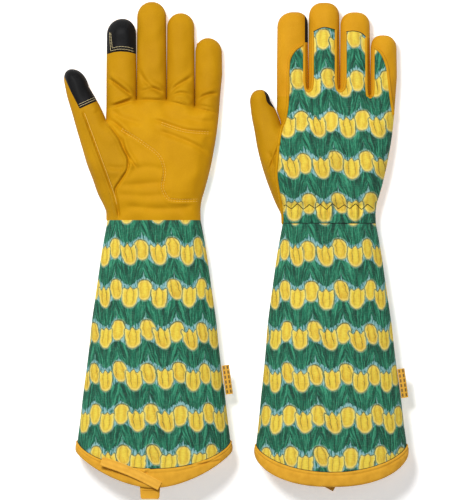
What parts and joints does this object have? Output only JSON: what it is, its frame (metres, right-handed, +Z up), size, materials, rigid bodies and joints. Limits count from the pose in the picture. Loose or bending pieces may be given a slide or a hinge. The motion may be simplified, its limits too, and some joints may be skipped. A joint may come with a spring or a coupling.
{
  "type": "pair of gardening gloves",
  "caption": "Long-cuff gardening gloves with leather palms, printed cotton backs and forearm cuffs, touchscreen pads, elastic wrists and a hem strap.",
  "frame": {"origin": "middle of the pair, on the ground that both gloves lie on", "axes": "+Z up; +Y towards the fingertips; +X from the left glove to the right glove, both thumbs towards -X; the left glove lies palm up and the right glove back up"},
  "size_m": [0.2897, 0.4131, 0.0497],
  "materials": {
    "palm_leather": "soft matte golden microfibre leather",
    "finger_leather": "soft matte golden microfibre leather",
    "print_cotton": "woven cotton printed with yellow tulips and dark green leaves on pale blue",
    "touch_leather": "smooth black conductive leather",
    "binding": "folded golden woven binding",
    "webbing": "golden woven webbing",
    "elastic": "gathered cotton over elastic with black zigzag stitching",
    "tag_weave": "blank woven tag"
  },
  "bodies": {
    "left_cuff": {"left_cuff_palm_panel": "print_cotton", "left_cuff_back_panel": "print_cotton", "left_hem_binding": "binding", "left_side_tag": "tag_weave", "left_strap_keeper": "webbing"},
    "left_hand": {"left_palm_panel": "palm_leather", "left_back_panel": "print_cotton", "left_palm_patch": "palm_leather", "left_thumb_gusset": "palm_leather", "left_wrist_elastic": "elastic", "left_finger_creases": "finger_leather"},
    "left_strap": {"left_cuff_strap": "webbing"},
    "left_index": {"left_index_front": "finger_leather", "left_index_back": "finger_leather", "left_index_fourchette": "finger_leather", "left_index_touch_pad": "touch_leather"},
    "left_middle": {"left_middle_front": "finger_leather", "left_middle_back": "print_cotton", "left_middle_fourchette": "finger_leather", "left_middle_tip_cap": "finger_leather"},
    "left_ring": {"left_ring_front": "finger_leather", "left_ring_back": "print_cotton", "left_ring_fourchette": "finger_leather", "left_ring_tip_cap": "finger_leather"},
    "left_little": {"left_little_front": "finger_leather", "left_little_back": "print_cotton", "left_little_fourchette": "finger_leather"},
    "left_thumb": {"left_thumb_front": "palm_leather", "left_thumb_back": "palm_leather", "left_thumb_touch_pad": "touch_leather"},
    "right_cuff": {"right_cuff_palm_panel": "print_cotton", "right_cuff_back_panel": "print_cotton", "right_hem_binding": "binding", "right_side_tag": "tag_weave", "right_strap_keeper": "webbing"},
    "right_hand": {"right_palm_panel": "palm_leather", "right_back_panel": "print_cotton", "right_palm_patch": "palm_leather", "right_thumb_gusset": "palm_leather", "right_wrist_elastic": "elastic", "right_finger_creases": "finger_leather"},
    "right_strap": {"right_cuff_strap": "webbing"},
    "right_index": {"right_index_front": "finger_leather", "right_index_back": "finger_leather", "right_index_fourchette": "finger_leather", "right_index_touch_pad": "touch_leather"},
    "right_middle": {"right_middle_front": "finger_leather", "right_middle_back": "print_cotton", "right_middle_fourchette": "finger_leather", "right_middle_tip_cap": "finger_leather"},
    "right_ring": {"right_ring_front": "finger_leather", "right_ring_back": "print_cotton", "right_ring_fourchette": "finger_leather", "right_ring_tip_cap": "finger_leather"},
    "right_little": {"right_little_front": "finger_leather", "right_little_back": "print_cotton", "right_little_fourchette": "finger_leather"},
    "right_thumb": {"right_thumb_front": "palm_leather", "right_thumb_back": "palm_leather", "right_thumb_touch_pad": "touch_leather"}
  },
  "joints": [
    {"name": "left_wrist_bend", "type": "hinge", "parent": "left_cuff", "child": "left_hand", "pos_m": [-0.0663, 0.0312, 0.013], "axis": [1, 0, 0], "range_deg": [-30, 30], "deforming": ["left_wrist_elastic"]},
    {"name": "left_index_curl", "type": "hinge", "parent": "left_hand", "child": "left_index", "pos_m": [-0.0943, 0.1322, 0.01], "axis": [1, 0, 0], "range_deg": [0, 60], "deforming": ["left_finger_creases"]},
    {"name": "left_middle_curl", "type": "hinge", "parent": "left_hand", "child": "left_middle", "pos_m": [-0.069, 0.1322, 0.01], "axis": [1, 0, 0], "range_deg": [0, 60], "deforming": ["left_finger_creases"]},
    {"name": "left_ring_curl", "type": "hinge", "parent": "left_hand", "child": "left_ring", "pos_m": [-0.0445, 0.1322, 0.01], "axis": [1, 0, 0], "range_deg": [0, 60], "deforming": ["left_finger_creases"]},
    {"name": "left_little_curl", "type": "hinge", "parent": "left_hand", "child": "left_little", "pos_m": [-0.0206, 0.1322, 0.01], "axis": [1, 0, 0], "range_deg": [0, 60], "deforming": ["left_finger_creases"]},
    {"name": "left_thumb_curl", "type": "hinge", "parent": "left_hand", "child": "left_thumb", "pos_m": [-0.1128, 0.0907, 0.012], "axis": [0.9272, 0.3746, 0], "range_deg": [0, 35], "deforming": ["left_finger_creases"]},
    {"name": "left_strap_peel", "type": "hinge", "parent": "left_cuff", "child": "left_strap", "pos_m": [-0.1103, -0.1738, 0.0483], "axis": [-0.4067, -0.9135, 0], "range_deg": [0, 110]},
    {"name": "pair_apart", "type": "slide", "parent": "left_cuff", "child": "right_cuff", "axis": [0, 0, 1], "range_m": [0, 0.2]},
    {"name": "right_wrist_bend", "type": "hinge", "parent": "right_cuff", "child": "right_hand", "pos_m": [0.0799, 0.0283, 0.0147], "axis": [-1, 0, 0], "range_deg": [-30, 30], "deforming": ["right_wrist_elastic"]},
    {"name": "right_index_curl", "type": "hinge", "parent": "right_hand", "child": "right_index", "pos_m": [0.0489, 0.1413, 0.0117], "axis": [-1, 0, 0], "range_deg": [0, 60], "deforming": ["right_finger_creases"]},
    {"name": "right_middle_curl", "type": "hinge", "parent": "right_hand", "child": "right_middle", "pos_m": [0.0742, 0.1413, 0.0117], "axis": [-1, 0, 0], "range_deg": [0, 60], "deforming": ["right_finger_creases"]},
    {"name": "right_ring_curl", "type": "hinge", "parent": "right_hand", "child": "right_ring", "pos_m": [0.0987, 0.1413, 0.0117], "axis": [-1, 0, 0], "range_deg": [0, 60], "deforming": ["right_finger_creases"]},
    {"name": "right_little_curl", "type": "hinge", "parent": "right_hand", "child": "right_little", "pos_m": [0.1226, 0.1413, 0.0117], "axis": [-1, 0, 0], "range_deg": [0, 60], "deforming": ["right_finger_creases"]},
    {"name": "right_thumb_curl", "type": "hinge", "parent": "right_hand", "child": "right_thumb", "pos_m": [0.0334, 0.0878, 0.0137], "axis": [-0.9272, -0.3746, 0], "range_deg": [0, 35], "deforming": ["right_finger_creases"]},
    {"name": "right_strap_peel", "type": "hinge", "parent": "right_cuff", "child": "right_strap", "pos_m": [0.0359, -0.1767, 0.0014], "axis": [0.4067, 0.9135, 0], "range_deg": [0, 110]}
  ]
}
